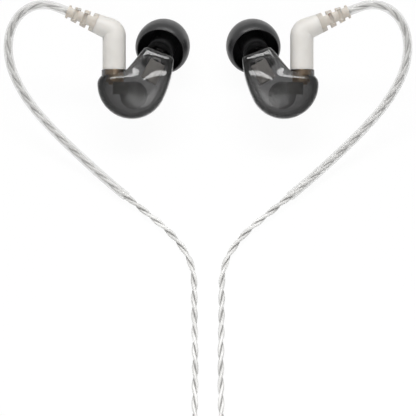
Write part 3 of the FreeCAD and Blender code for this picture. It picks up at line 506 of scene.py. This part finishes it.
def splinePath(points):
    # the smooth line that the points steer, as a row of places in metres
    curve = bpy.data.curves.new("route", "CURVE")
    curve.dimensions = "3D"
    curve.resolution_u = 12
    spline = curve.splines.new("NURBS")
    spline.points.add(len(points) - 1)
    spline.points.foreach_set("co", np.c_[np.asarray(points) * mm, np.ones(len(points))].ravel())
    spline.order_u = 3
    spline.use_endpoint_u = True
    holder = bpy.data.objects.new("route", curve)
    line = bpy.data.meshes.new_from_object(holder)
    places = np.empty(len(line.vertices) * 3)
    line.vertices.foreach_get("co", places)
    bpy.data.objects.remove(holder)
    return places.reshape(-1, 3)


def distances(path):
    return np.r_[0, np.cumsum(np.linalg.norm(np.diff(path, axis=0), axis=1))]


def evenly(path, step):
    # the same line with its places about step millimetres apart
    along = distances(path)
    spots = np.linspace(0, along[-1], int(round(along[-1] / (step * mm))) + 1)
    return np.stack([np.interp(spots, along, path[:, axis]) for axis in range(3)], -1)


def framesAlong(path):
    # at each place, the right-hand side and the way up
    ahead = np.gradient(path, axis=0)
    ahead /= np.linalg.norm(ahead, axis=1, keepdims=True)
    side = np.cross(ahead, (0, 0, 1))
    side /= np.linalg.norm(side, axis=1, keepdims=True)
    return side, np.cross(side, ahead)


def carriedRings(path, radii, sides):
    # circles of the given radii round the places of a path
    side, up = framesAlong(path)
    angle = np.linspace(0, 2 * math.pi, sides, endpoint=False)[None, :, None]
    ring = side[:, None] * np.cos(angle) + up[:, None] * np.sin(angle)
    return path[:, None] + ring * (np.asarray(radii) * mm)[:, None, None]


def gridUvs(rows, columns, spacing, ringSpan):
    # u is the distance along, v the distance round, both in metres
    i = np.repeat(np.arange(rows - 1), columns)
    j = np.tile(np.arange(columns), rows - 1)
    u = np.stack([i, i, i + 1, i + 1], -1) * spacing
    v = np.stack([j, j + 1, j + 1, j], -1) * ringSpan / columns
    return np.stack([u, v], -1)


def strandMesh(path, kind):
    # strand k lies at offset (side cos a + up sin a), a = 2 pi (distance / pitch + k / count + phase);
    # groove is the cosine of the angle between a point of the strand and the cord's middle, which the strand
    # finish uses to paint shade where strands meet
    path = evenly(path, kind["step"])
    along = distances(path) / mm
    side, up = framesAlong(path)
    grids, faces, uvs, paintedShadeSides = [], [], [], []
    for strand in range(kind["count"]):
        angle = (2 * math.pi * (along / kind["pitch"] + strand / kind["count"] + kind["phase"]))[:, None]
        centre = path + (side * np.cos(angle) + up * np.sin(angle)) * kind["offset"] * mm
        radii = np.full(len(path), kind["radius"])
        rings = carriedRings(centre, radii, kind["sides"])
        ends = np.repeat(centre[[0, -1]][:, None], kind["sides"], 1)
        inward = np.einsum("ijk,ik->ij", rings - centre[:, None], path - centre)
        inward /= kind["radius"] * kind["offset"] * mm * mm
        paintedShadeSides.append(np.concatenate([inward[:1], inward, inward[-1:]]).ravel())
        rings = np.concatenate([ends[:1], rings, ends[1:]])
        faces.append(gridFaces(len(rings), kind["sides"]) + sum(len(grid) for grid in grids))
        ringSpan = 2 * math.pi * kind["radius"] * mm
        uvs.append(gridUvs(len(rings), kind["sides"], kind["step"] * mm, ringSpan))
        grids.append(rings.reshape(-1, 3))
    mesh = meshFrom(np.concatenate(grids), np.concatenate(faces), np.concatenate(uvs))
    # the groove attribute marks the side where the strand finish paints shade
    layer = mesh.attributes.new("groove", "FLOAT", "POINT")
    layer.data.foreach_set("value", np.concatenate(paintedShadeSides).astype(np.float32))
    return tidied(mesh), path


def sleeveMesh(path, kind):
    # outside from start to end and bore from end to start, as one closed skin
    outside = carriedRings(path, np.full(len(path), kind["radius"]), kind["sides"])
    inside = carriedRings(path, np.full(len(path), kind["bore"]), kind["sides"])[::-1]
    rings = np.concatenate([outside, inside])
    return tidied(meshFrom(rings, gridFaces(len(rings), kind["sides"], True)), 50)


def makeCords():
    firstPoint = reliefEnd / mm
    points = [tuple(firstPoint), tuple(firstPoint + reliefAxis * relief["firstRun"]), *hookRoute]
    sleeveEnd = (np.array(points[sleeve["lastRun"]]) + np.array(points[sleeve["lastRun"] + 1])) / 2 * mm
    coil = coilPoints(cordCoil)
    tailHeight = coil[-1][2]
    gap = splitter["y"] - cordCoil["y"]
    tail = [(-cordCoil["side"], cordCoil["y"] + gap * share, tailHeight) for share in (1 / 3, 2 / 3, 1)]
    path = splinePath([*points, *coil, *tail])
    mesh, path = strandMesh(path, strands)
    last = np.argmin(np.linalg.norm(path - sleeveEnd, axis=1))
    hookPath = evenly(path[:last + 1], sleeve["step"])
    hooks = addPair("ear_hook_sleeve", sleeveMesh(hookPath, sleeve), "cable", finishes["sleeve"],
                    ["ear_hook"])
    cords = addPair("twisted_cord", mesh, "cable", finishes["strand"],
                    ["cord", "cord_coil", "cord_tail"])
    return cords, hooks, path


def makeMainCord():
    start = splitter["y"] - splitter["length"]
    lead, tail = start - mainCoil["y"], mainCoil["y"] - plug["y"]
    coil = coilPoints(mainCoil)
    top = coil[-1][2]
    points = [(0, start, splitter["height"]), (0, start - lead * levelShare, splitter["height"]),
              (0, mainCoil["y"] + lead * levelShare, mainCoil["low"]), *coil,
              (0, mainCoil["y"] - tail * levelShare, top),
              (0, plug["y"] + tail * levelShare, plug["height"]), (0, plug["y"], plug["height"])]
    mesh, path = strandMesh(splinePath(points), mainStrands)
    piece = addPiece("main_twisted_cord", mesh, "cable", finishes["strand"],
                     ["main_cord", "main_coil", "main_tail"])
    return piece, path


cords, hooks, cordPath = makeCords()
mainCord, mainPath = makeMainCord()
print("cords laid, %.3f m and %.3f m" % (distances(cordPath)[-1], distances(mainPath)[-1]))


# stage

floor = {"side": 1.5, "grey": 0.9, "white": 0.95, "mirrored": 0.6, "world": 0.25}
sky = {"horizon": 0.7, "zenith": 0.25, "lowest": 0.3, "highest": 0.9}


def seenWhite(tree, share=None):
    # 1 where a camera or transmitted ray looks, and a share where a glossy ray looks
    rays = addNode(tree, "ShaderNodeLightPath")
    dimmed = addNode(tree, "ShaderNodeMath", operation="MULTIPLY")
    dimmed.inputs[1].default_value = floor["mirrored"]
    tree.links.new(rays.outputs["Is Glossy Ray"], dimmed.inputs[0])
    if share:
        tree.links.new(share, dimmed.inputs[1])
    value = rays.outputs["Is Camera Ray"]
    for other in (dimmed.outputs["Value"], rays.outputs["Is Transmission Ray"]):
        larger = addNode(tree, "ShaderNodeMath", operation="MAXIMUM")
        tree.links.new(value, larger.inputs[0])
        tree.links.new(other, larger.inputs[1])
        value = larger.outputs["Value"]
    return value


def skyShare(tree):
    # reflections see a bright horizon and a darker sky: the share falls with the height of the direction
    way = addNode(tree, "ShaderNodeTexCoord")
    parts = addNode(tree, "ShaderNodeSeparateXYZ")
    share = addNode(tree, "ShaderNodeMapRange", interpolation_type="SMOOTHSTEP")
    for socket, setting in (("From Min", "lowest"), ("From Max", "highest"),
                            ("To Min", "horizon"), ("To Max", "zenith")):
        share.inputs[socket].default_value = sky[setting]
    tree.links.new(way.outputs["Generated"], parts.inputs["Vector"])
    tree.links.new(parts.outputs["Z"], share.inputs["Value"])
    return share.outputs["Result"]


def makeStage():
    half = floor["side"] / 2
    mesh = meshFrom([(-half, -half, 0), (half, -half, 0), (half, half, 0), (-half, half, 0)],
                    np.array([[0, 1, 2, 3]]))
    ground = bpy.data.objects.new("floor", mesh)
    bpy.context.scene.collection.objects.link(ground)
    material = bpy.data.materials.new("paleFloor")
    material.use_nodes = True
    tree = material.node_tree
    tree.nodes.remove(tree.nodes["Principled BSDF"])
    matt, glow = addNode(tree, "ShaderNodeBsdfDiffuse"), addNode(tree, "ShaderNodeEmission")
    matt.inputs["Color"].default_value = (*[floor["grey"]] * 3, 1)
    glow.inputs["Color"].default_value = (1, 1, 1, 1)
    share = addNode(tree, "ShaderNodeMath", operation="MULTIPLY")
    share.inputs[1].default_value = floor["white"]
    mix = addNode(tree, "ShaderNodeMixShader")
    tree.links.new(seenWhite(tree), share.inputs[0])
    tree.links.new(share.outputs["Value"], mix.inputs["Fac"])
    tree.links.new(matt.outputs["BSDF"], mix.inputs[1])
    tree.links.new(glow.outputs["Emission"], mix.inputs[2])
    tree.links.new(mix.outputs["Shader"], tree.nodes["Material Output"].inputs["Surface"])
    mesh.materials.append(material)
    world = bpy.data.worlds.new("studio")
    bpy.context.scene.world = world
    world.use_nodes = True
    tree = world.node_tree
    level = addNode(tree, "ShaderNodeMapRange")
    level.inputs["To Min"].default_value, level.inputs["To Max"].default_value = floor["world"], 1.0
    tree.links.new(seenWhite(tree, skyShare(tree)), level.inputs["Value"])
    background = tree.nodes["Background"]
    background.inputs["Color"].default_value = (1, 1, 1, 1)
    tree.links.new(level.outputs["Result"], background.inputs["Strength"])
    bpy.context.scene.view_settings.view_transform = "Standard"


# direction seen from the earpieces as (across, up the neck, out of the face), distance, size and power
lamps = {
    "overhead": {"way": (0, 0.85, 0.53), "reach": 600, "size": (500, 180), "power": 2.8, "lights": "matt"},
    "front": {"way": (0, -0.3, 1), "reach": 170, "size": (80, 80), "power": 0.13, "lights": "matt"},
    "softbox": {"way": (0, 0.78, 0.62), "reach": 600, "size": (760, 240), "power": 4.6, "lights": "gloss"},
}


def makeLamps():
    middle = np.array((0, *neckPlace[1:]))
    for name, lamp in lamps.items():
        data = bpy.data.lights.new(name, "AREA")
        data.shape = "RECTANGLE"
        data.size, data.size_y = lamp["size"][0] * mm, lamp["size"][1] * mm
        data.energy = lamp["power"]
        light = bpy.data.objects.new(name, data)
        bpy.context.scene.collection.objects.link(light)
        way = unit(earpiece[:3, :3] @ np.array(lamp["way"]))
        light.location = middle + way * lamp["reach"] * mm
        light.rotation_mode = "QUATERNION"
        light.rotation_quaternion = Vector(-way).to_track_quat("-Z", "Y")
        light.visible_camera = False
        light.visible_glossy = lamp["lights"] == "gloss"
        light.visible_diffuse = lamp["lights"] == "matt"


makeStage()
makeLamps()
print("stage lit")


# shell

shell = {"bowl": (4.15, -3.4), "bowlRadius": 8.0, "flankRadius": 25.7, "brow": (13.9, 2.85),
         "peak": (7.4, 5.4), "waist": (2.75, -0.2), "shoulder": -1.3, "round": 0.8, "shoulderRound": 1.8,
         "heart": (6.0, -3.0), "reach": 7.0, "front": 4.3, "back": 4.0, "wall": 0.9, "seam": 0.03,
         "facePower": 0.55, "armPower": 0.36, "backPower": 0.8, "armFrom": (3.0, 12.0),
         "bendStart": -2.3, "bendRun": 2.6, "bendDrop": 0.2,
         "around": 256, "rows": 40, "melting": 3, "evenings": 18, "evenedTo": 0.93}
collar = {"radius": 2.93, "depth": 2.6, "bore": 2.23, "boreDepth": 3.7, "edge": 0.12}
boss = {"start": -6.0, "end": -1.6, "rootRadius": 3.4, "tipRadius": 2.9, "bore": 2.03, "boreStart": -9.5,
        "edge": 0.15}


def shellOutline():
    # bowl's arc, flank's arc, brow, peak and waist, with small quadratic corners, evenly spaced
    bowl, brow = np.array(shell["bowl"]), np.array(shell["brow"])
    near, far = shell["flankRadius"] - shell["bowlRadius"], shell["flankRadius"]
    span = brow - bowl
    length = np.linalg.norm(span)
    along = (near ** 2 - far ** 2 + length ** 2) / (2 * length)
    way = span / length
    flank = bowl + way * along + np.array((-way[1], way[0])) * math.sqrt(near ** 2 - along ** 2)
    peak, waist, cut = np.array(shell["peak"]), np.array(shell["waist"]), shell["round"]
    rise = shell["shoulder"] - bowl[1]
    shoulder = bowl + np.array((-math.sqrt(shell["bowlRadius"] ** 2 - rise ** 2), rise))
    toJoin = math.atan2(*(bowl - flank)[::-1])
    toBrow = math.atan2(*(brow - flank)[::-1]) - cut / far
    bend = shell["shoulderRound"]
    toShoulder = math.atan2(*(shoulder - bowl)[::-1]) % (2 * math.pi) + bend / shell["bowlRadius"]
    bowlTurn = np.linspace(toShoulder, toJoin + 2 * math.pi, 200)
    flankTurn = np.linspace(toJoin, toBrow, 200)

    def circle(centre, radius, angle):
        return centre + radius * np.stack([np.cos(angle), np.sin(angle)], -1)

    def corner(start, middle, end):
        t = np.linspace(0, 1, 16)[:, None]
        return start * (1 - t) ** 2 + middle * 2 * t * (1 - t) + end * t ** 2

    def toward(start, end, reach=cut):
        return start + unit(end - start) * reach

    bowlLine, flankLine = circle(bowl, shell["bowlRadius"], bowlTurn), circle(flank, far, flankTurn)
    line = np.concatenate([
        bowlLine, flankLine, corner(flankLine[-1], brow, toward(brow, peak)),
        corner(toward(peak, brow), peak, toward(peak, waist)),
        corner(toward(waist, peak), waist, toward(waist, shoulder)),
        corner(toward(shoulder, waist, bend), shoulder, bowlLine[0])])
    steps = np.linalg.norm(np.diff(line, axis=0), axis=1)
    line = line[np.r_[True, steps > 1e-6]]
    along = np.r_[0, np.cumsum(np.linalg.norm(np.diff(line, axis=0), axis=1))]
    spots = np.linspace(0, along[-1], shell["around"], endpoint=False)
    return np.stack([np.interp(spots, along, line[:, axis]) for axis in range(2)], -1)


def ringMean(rings, reach):
    # each value with its neighbours on both sides, round a closed ring, weighted by a Hann window
    window = np.hanning(2 * reach + 3)[1:-1]
    window /= window.sum()
    padded = np.concatenate([rings[-reach:], rings, rings[:reach]])
    return np.stack([np.convolve(column, window, "valid") for column in padded.T], -1)


def shellBody(share, inset):
    # section at turn u is the outline drawn to the heart by cos(u)^power, at depth sin(u)^power
    outline = shellOutline() - np.array(shell["heart"])
    turns = np.radians(np.linspace(-90, 90, 2 * shell["rows"] + 1))
    depth = np.where(turns > 0, shell["front"], shell["back"]) - inset
    facePower = np.interp(outline[:, 0] + shell["heart"][0], shell["armFrom"],
                          (shell["facePower"], shell["armPower"]))
    power = np.where(turns[:, None] > 0, facePower, shell["backPower"])
    height = (np.sign(turns) * depth)[:, None] * np.abs(np.sin(turns))[:, None] ** power
    shares = share * np.cos(turns).clip(0)[:, None] ** power
    # towards the heart the outline melts into a rounder one, its mean over a quarter of the way round
    reach = shell["around"] // 8
    rounder = ringMean(outline, reach)
    melt = (shares ** shell["melting"])[..., None]
    flat = shares[..., None] * (outline * melt + rounder * (1 - melt)) + np.array(shell["heart"])
    # the face bends back across the waist, where the nozzle's arm starts
    past = np.clip((flat[..., 1] - shell["bendStart"]) / shell["bendRun"], 0, 1)
    drop = shell["bendDrop"] * past ** 2 * (3 - 2 * past)
    grid = np.concatenate([flat, (height * (1 - np.where(height > 0, drop, 0)))[..., None]], -1)
    # away from the edge each point moves half way to the mean of its four neighbours, again and again
    inner = (shares < share * shell["evenedTo"])[1:-1, :, None]
    for _ in range(shell["evenings"]):
        mean = (np.roll(grid, 1, 1) + np.roll(grid, -1, 1))[1:-1] / 4 + (grid[:-2] + grid[2:]) / 4
        grid[1:-1] = np.where(inner, (grid[1:-1] + mean) / 2, grid[1:-1])
    return tidied(meshFrom(placed(earpiece, grid), gridFaces(len(turns), shell["around"])), 60)


def cylinderMesh(matrix, radius, start, end, around=64):
    return turnedMesh(matrix, [(0, start), (radius, start), (radius, end), (0, end)], around)


def blockFrom(start, room=40):
    # a block that holds all in front of the given depth
    corners = [(x, y, z) for x in (-room, room) for y in (-room, room) for z in (start, room)]
    faces = np.array([(0, 1, 3, 2), (4, 6, 7, 5), (0, 4, 5, 1), (2, 3, 7, 6), (0, 2, 6, 4), (1, 5, 7, 3)])
    return tidied(meshFrom(placed(earpiece, corners), faces))


def makeShells():
    whole = shellBody(1.0, 0.0)
    radius, depth, edge = collar["radius"], collar["depth"], collar["edge"]
    neckTube = turnedMesh(neck, [(0, 0), (radius - edge, 0), (radius, -edge), (radius, -depth), (0, -depth)])
    start, end, radius, edge = boss["start"], boss["end"], boss["tipRadius"], boss["edge"]
    nozzleBoss = turnedMesh(nozzleFrame, [(0, start), (boss["rootRadius"], start), (radius, end - edge),
                                          (radius - edge, end), (0, end)])
    whole = combined(whole, neckTube, "UNION")
    whole = combined(whole, nozzleBoss, "UNION")
    cavity = shellBody((shell["reach"] - shell["wall"]) / shell["reach"], shell["wall"])
    whole = combined(whole, cavity, "DIFFERENCE")
    whole = combined(whole, cylinderMesh(neck, collar["bore"], -collar["boreDepth"], 1), "DIFFERENCE")
    whole = combined(whole, cylinderMesh(nozzleFrame, boss["bore"], boss["boreStart"], 0), "DIFFERENCE")
    front = combined(whole, blockFrom(shell["seam"] / 2), "INTERSECT")
    back = combined(whole, blockFrom(-shell["seam"] / 2), "DIFFERENCE")
    for name, mesh in (("outer_shell", front), ("inner_shell", back)):
        addPair("smoked_" + name, tidied(mesh, 40), "earpiece", finishes["smoked"], [name])


makeShells()
print("shells moulded")


# eartip

eartip = {"bore": 2.42, "core": 3.1, "coreStart": -1.0, "length": 10.0, "wall": 0.55, "radius": 6.4,
          "widest": 2.2, "rimRadius": 5.65, "rimWall": 0.3, "noseRadius": 3.1, "skirtBend": 3.9,
          "insideBend": 6.2, "domeBend": 9.52, "mouth": (0.2, 0.1), "around": 128}


def makeEartips():
    # core, roof and skirt as one closed profile of (radius, height) turned about the nozzle
    bore, core, length, wall = eartip["bore"], eartip["core"], eartip["length"], eartip["wall"]
    radius, widest, rim, rimWall = eartip["radius"], eartip["widest"], eartip["rimRadius"], eartip["rimWall"]
    mouthWidth, mouthDepth = eartip["mouth"]
    profile = [(bore, eartip["coreStart"]), (core, eartip["coreStart"]), (core, length - 3 * wall)]
    profile = arcTo(profile, (radius - wall, widest), -eartip["insideBend"], 20)
    profile = arcTo(profile, (rim - rimWall, 0), -eartip["skirtBend"], 12)
    profile = arcTo(profile, (rim, 0), rimWall / 2, 6)
    profile = arcTo(profile, (radius, widest), eartip["skirtBend"], 16)
    profile = arcTo(profile, (eartip["noseRadius"], length), eartip["domeBend"], 30)
    profile += [(bore + mouthWidth, length - mouthDepth), (bore, length - wall)]
    mesh = turnedMesh(nozzleFrame, profile, eartip["around"], sharp=50)
    addPair("silicone_eartip", mesh, "eartip", finishes["silicone"], ["eartip"])


makeEartips()
print("eartips moulded")


# elbow and strain relief

def filletRail(edge, through, angle, radius):
    # rail of an edge x = edge and a slanted edge through a point, joined by an arc of the given radius
    away = np.array((math.cos(angle), math.sin(angle)))
    across = edge - radius
    up = (np.dot(through, away) - radius - across * away[0]) / away[1]
    turns = np.linspace(0, angle, 25)
    return np.array((across, up)) + radius * np.stack([np.cos(turns), np.sin(turns)], -1)


def makeElbows():
    # each ring spans an outer and an inner rail: centre + half the span cos a + up r sin a;
    # slimming is the share of the narrowing to the end radius that the bend does
    radius, endRadius, taper = elbow["radius"], elbow["endRadius"], math.radians(elbow["taper"])
    away = np.array((math.cos(turn), math.sin(turn)))
    end = elbowEnd[:2]
    outerBend = filletRail(radius, end + away * endRadius, turn + taper, elbow["outerRound"])
    innerBend = filletRail(-radius, end - away * endRadius, turn - taper, -elbow["innerRound"])
    legSteps = np.linspace(0, 1, 8)[:-1, None]

    def leg(x, top):
        return np.array((x, elbow["lip"] + 0.1)) * (1 - legSteps) + np.array((x, top)) * legSteps

    def tip(sign, reach, back):
        return end + away * sign * reach - reliefAxisLocal[:2] * back

    seat, depth, lip, groove = elbow["seatRadius"], elbow["seatDepth"], elbow["lip"], elbow["groove"]
    low = elbow["clear"]
    # the edges of the foot and of the far end are rounded over about a tenth of a millimetre
    foot = [(0, depth), (seat, depth), (seat, low), (radius - 0.1, low), (radius - 0.02, 0.08),
            (radius, lip - 0.05), (radius - groove, lip), (radius - groove, lip + 0.04)]
    ends = [(endRadius, 0.12), (endRadius - 0.03, 0.04), (endRadius - 0.12, 0), (0, 0)]
    outer = np.concatenate([foot, leg(radius, outerBend[0, 1]), outerBend,
                            [tip(1, *place) for place in ends]])
    inner = np.concatenate([[(-x, y) for x, y in foot], leg(-radius, innerBend[0, 1]), innerBend,
                            [tip(-1, *place) for place in ends]])
    bendHeights = radius + (endRadius - radius) * np.linspace(0, elbow["slimming"], len(outerBend))
    heights = np.r_[[x for x, _ in foot], np.full(len(legSteps), radius), bendHeights,
                    [x for x, _ in ends]]
    angle = np.linspace(0, 2 * math.pi, elbow["around"], endpoint=False)[None, :, None]
    half = np.c_[(outer - inner) / 2, 0 * heights][:, None]
    middle = np.c_[(outer + inner) / 2, 0 * heights][:, None]
    up = np.c_[0 * heights, 0 * heights, heights][:, None]
    grid = middle + half * np.cos(angle) + up * np.sin(angle)
    mesh = tidied(meshFrom(placed(earpiece, grid), gridFaces(len(heights), elbow["around"])), 40)
    addPair("milky_elbow", mesh, "cable", finishes["milky"], ["elbow"])


def makeReliefs():
    pair = addPair("notched_relief", mergedCopy("left_strain_relief"), "cable", finishes["rubber"],
                   ["strain_relief"])
    bevelled(pair, relief["edge"])


makeElbows()
makeReliefs()
print("elbows moulded")


# what is kept from the frame

dressing = {
    "nozzle": "blackPlastic", "nozzle_mesh": "steel", "sound_tube": "milky", "driver_frame": "greyPlastic",
    "driver_yoke": "darkSteel", "driver_magnet": "steel", "voice_coil": "copper", "diaphragm": "film",
    "balanced_armature": "can", "crossover_board": "board", "jack_body": "brass",
    "jack_contact": "brass", "plug_barrel": "brass", "plug_pin": "brass", "snap_ring": "steel",
}
commonDressing = {
    "slider": "milky", "splitter": "milky", "plug_boot": "rubber", "plug_housing": "milky",
    "plug_sleeve_contact": "gold", "plug_ring_contact": "gold", "plug_tip_contact": "gold",
    "plug_insulator": "blackPlastic",
}


def dress(node, finish):
    thing = nodes[node]
    if not thing.material_slots:
        thing.data.materials.append(finish)
    for slot in thing.material_slots:
        slot.link = "OBJECT"
        slot.material = finish


for node, finish in dressing.items():
    for side in ("left", "right"):
        dress(side + "_" + node, finishes[finish])
for node, finish in commonDressing.items():
    dress(node, finishes[finish])
print("frame dressed")
